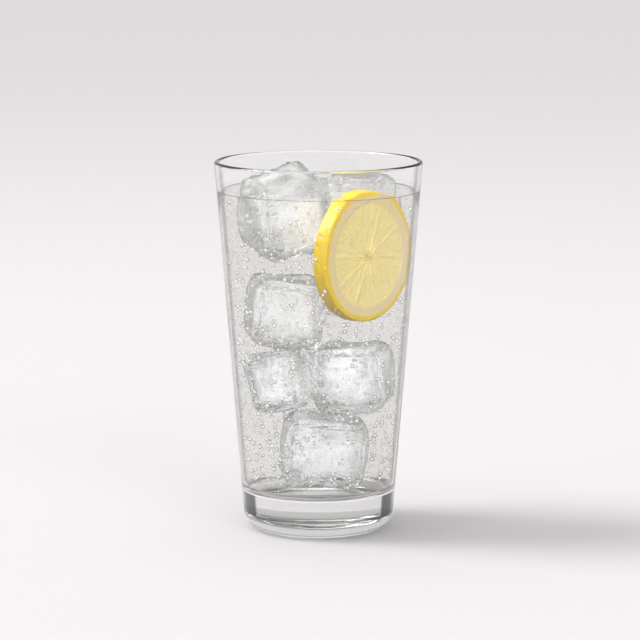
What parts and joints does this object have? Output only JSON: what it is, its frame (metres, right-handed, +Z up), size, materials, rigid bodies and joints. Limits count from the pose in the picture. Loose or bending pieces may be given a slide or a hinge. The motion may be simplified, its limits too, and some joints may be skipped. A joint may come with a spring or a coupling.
{
  "type": "glass of lemonade",
  "caption": "Cone-sided clear glass tumbler of iced lemonade with a lemon slice standing in the drink.",
  "frame": {"origin": "middle of the ring the glass stands on, on the table", "axes": "+Z up along the glass's own axis, -Y towards the viewer, the lemon slice at the front right"},
  "size_m": [0.085, 0.085, 0.152],
  "materials": {
    "clear_glass": "fire-polished, clear",
    "drink": "clear still liquid with bubbles",
    "lemon": "wet, yellow rind and pale flesh",
    "ice": "clear, wet, melted edges"
  },
  "bodies": {
    "root": {"tumbler": "clear_glass", "lemonade": "drink", "lemon_slice": "lemon", "ice_left": "ice", "ice_right": "ice"}
  },
  "joints": []
}
